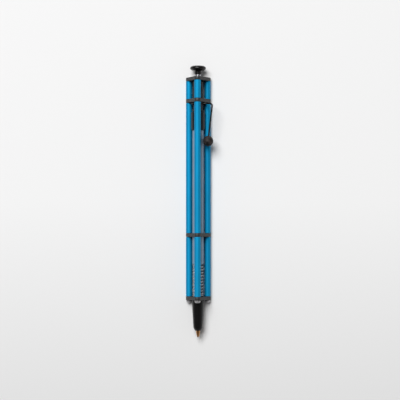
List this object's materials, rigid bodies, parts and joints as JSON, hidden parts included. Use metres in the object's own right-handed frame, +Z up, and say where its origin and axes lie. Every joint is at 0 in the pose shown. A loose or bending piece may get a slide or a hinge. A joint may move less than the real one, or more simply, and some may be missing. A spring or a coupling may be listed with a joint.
{
  "type": "ballpoint pen",
  "caption": "Click ballpoint pen with an open body of blue tubes held between dark plates, a refill in a steel carrier, a return spring, black nose and button, and a wire clip with a ball end.",
  "frame": {"origin": "centre of the bounding box on the table, with the pen lying on two of its tube rows", "axes": "+Y along the pen towards the push button, +Z up from the table, +X towards the clip's side"},
  "size_m": [0.014, 0.1358, 0.0111],
  "materials": {
    "blue_aluminium": "satin blue anodised",
    "grey_aluminium": "satin dark grey anodised",
    "black_aluminium": "black anodised",
    "blackened_steel": "blackened, half gloss",
    "bright_steel": "bright turned",
    "brass": "turned",
    "dark_plastic": "dark grey, satin",
    "light_plastic": "pale, moulded",
    "ink_plastic": "clear tube full of dark ink",
    "black_rubber": "black, matt"
  },
  "bodies": {
    "frame": {"tube_upper_1": "blue_aluminium", "tube_upper_2": "blue_aluminium", "tube_upper_3": "blue_aluminium", "tube_middle_1": "blue_aluminium", "tube_middle_2": "blue_aluminium", "tube_middle_3": "blue_aluminium", "tube_lower_1": "blue_aluminium", "tube_lower_2": "blue_aluminium", "tube_lower_3": "blue_aluminium", "top_plate": "grey_aluminium", "clip_plate": "grey_aluminium", "mid_plate": "grey_aluminium", "bottom_plate": "grey_aluminium", "tie_screw_1": "bright_steel", "tie_screw_2": "bright_steel", "tie_screw_3": "bright_steel", "nose_cone": "black_aluminium", "mechanism_housing": "dark_plastic", "return_spring": "bright_steel"},
    "button": {"push_button": "black_aluminium", "plunger": "bright_steel"},
    "refill": {"refill_carrier": "bright_steel", "refill_tube": "ink_plastic", "refill_tip": "brass"},
    "cam": {"ratchet_cam": "light_plastic"},
    "writing_ball": {"tip_ball": "bright_steel"},
    "clip": {"clip_wire": "blackened_steel", "clip_ball": "black_rubber"}
  },
  "joints": [
    {"name": "button_slide", "type": "slide", "parent": "frame", "child": "button", "axis": [0, 1, 0], "range_m": [-0.0012, 0.0045]},
    {"name": "refill_slide", "type": "slide", "parent": "frame", "child": "refill", "axis": [0, 1, 0], "range_m": [-0.0012, 0.0045], "deforming": ["return_spring"]},
    {"name": "cam_turn", "type": "hinge", "parent": "refill", "child": "cam", "pos_m": [-0.00078, 0.0373, 0.00425], "axis": [0, 1, 0], "range_deg": [-16.5, 60.5]},
    {"name": "tip_ball_roll", "type": "hinge", "parent": "refill", "child": "writing_ball", "pos_m": [-0.00078, -0.06754, 0.00425], "axis": [1, 0, 0], "continuous": true},
    {"name": "clip_flex", "type": "hinge", "parent": "frame", "child": "clip", "pos_m": [0.00242, 0.04893, 0.0061], "axis": [-0.5, 0, 0.866], "range_deg": [0, 5], "stiffness_Nm_per_rad": 0.6}
  ],
  "couplings": [
    {"joint": "refill_slide", "follows": "button_slide", "ratio": 1},
    {"joint": "cam_turn", "follows": "button_slide", "rad_per_m": 232.7}
  ]
}
